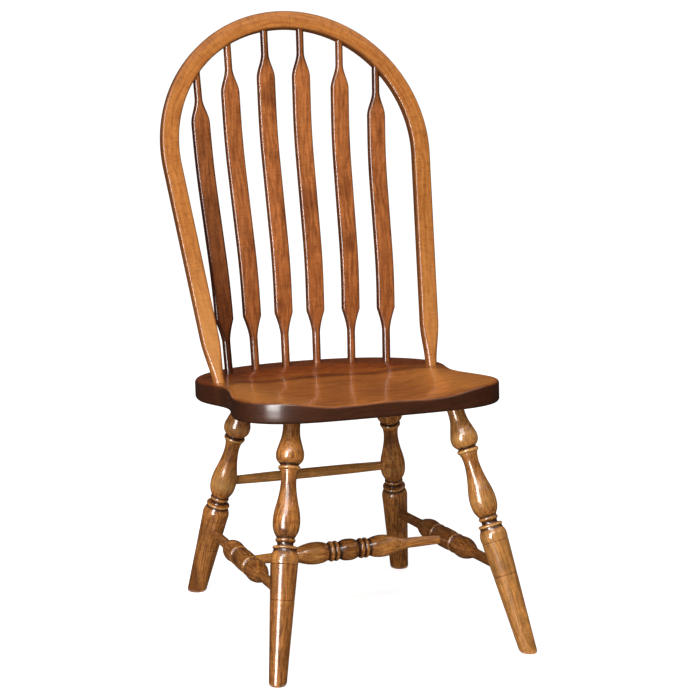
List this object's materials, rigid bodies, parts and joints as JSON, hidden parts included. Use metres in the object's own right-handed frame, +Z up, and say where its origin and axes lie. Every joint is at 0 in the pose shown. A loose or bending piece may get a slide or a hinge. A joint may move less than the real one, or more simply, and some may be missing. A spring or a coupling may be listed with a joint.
{
  "type": "side chair",
  "caption": "Bow-back Windsor side chair with a saddled plank seat, bent hoop back, flat arrow spindles, splayed turned legs and turned stretchers, for sitting at a table.",
  "frame": {"origin": "on the floor, under the middle of the chair's bounding box", "axes": "+Z up, -Y the way the sitter faces, +X to the right of the picture's view of the front"},
  "size_m": [0.5152, 0.6551, 1.0547],
  "materials": {
    "seat_wood": "gloss lacquer",
    "bow_wood": "gloss lacquer",
    "spindle_wood": "gloss lacquer",
    "turned_wood": "gloss lacquer",
    "bare_wood": "bare",
    "steel": "plain"
  },
  "bodies": {
    "root": {"seat": "seat_wood", "bow": "bow_wood", "spindle_1": "spindle_wood", "spindle_2": "spindle_wood", "spindle_3": "spindle_wood", "spindle_4": "spindle_wood", "spindle_5": "spindle_wood", "spindle_6": "spindle_wood", "leg_front_left": "turned_wood", "leg_front_right": "turned_wood", "leg_rear_left": "turned_wood", "leg_rear_right": "turned_wood", "side_stretcher_left": "turned_wood", "side_stretcher_right": "turned_wood", "centre_stretcher": "turned_wood", "rear_stretcher": "turned_wood", "leg_wedges": "bare_wood", "bow_screws": "steel", "spindle_pins": "steel", "stretcher_pins": "steel"}
  },
  "joints": []
}
